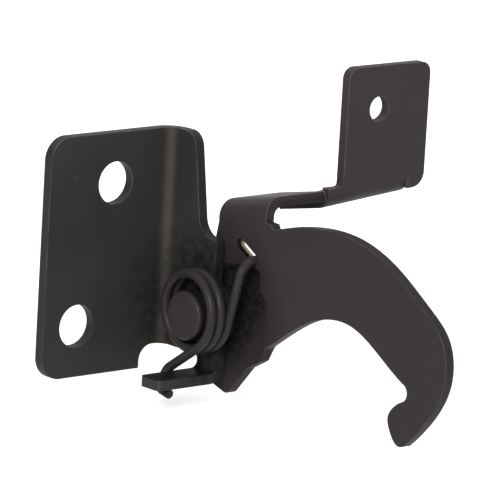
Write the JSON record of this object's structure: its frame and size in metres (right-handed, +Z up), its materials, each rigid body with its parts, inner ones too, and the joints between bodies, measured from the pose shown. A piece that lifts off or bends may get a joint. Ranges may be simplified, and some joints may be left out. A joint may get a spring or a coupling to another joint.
{
  "type": "hood latch",
  "caption": "Bonnet safety catch: folded two-hole bracket, hook lever on a riveted pivot with a side release tab, and a torsion return spring.",
  "frame": {"origin": "midway between the two mounting holes, on the face of the bracket that bolts to the panel", "axes": "+X along the pivot, from the rivet's post to its tail; +Y out of the mounting face, into the panel; +Z up"},
  "size_m": [0.0776, 0.0867, 0.0699],
  "materials": {
    "bracket_paint": "satin black",
    "lever_paint": "satin black",
    "rivet_paint": "satin black",
    "wire_paint": "satin black",
    "washer_paint": "satin black"
  },
  "bodies": {
    "bracket": {"mounting_bracket": "bracket_paint", "pivot_rivet": "rivet_paint", "torsion_spring": "wire_paint", "spacer_washer": "washer_paint", "back_washer": "washer_paint"},
    "lever": {"hook_lever": "lever_paint"}
  },
  "joints": [
    {"name": "lever_pivot", "type": "hinge", "parent": "bracket", "child": "lever", "pos_m": [0.0246, -0.0168, -0.0113], "axis": [-1, 0, 0], "range_deg": [0, 28], "stiffness_Nm_per_rad": 1.4, "springref_deg": -9.74, "deforming": ["torsion_spring"]}
  ]
}
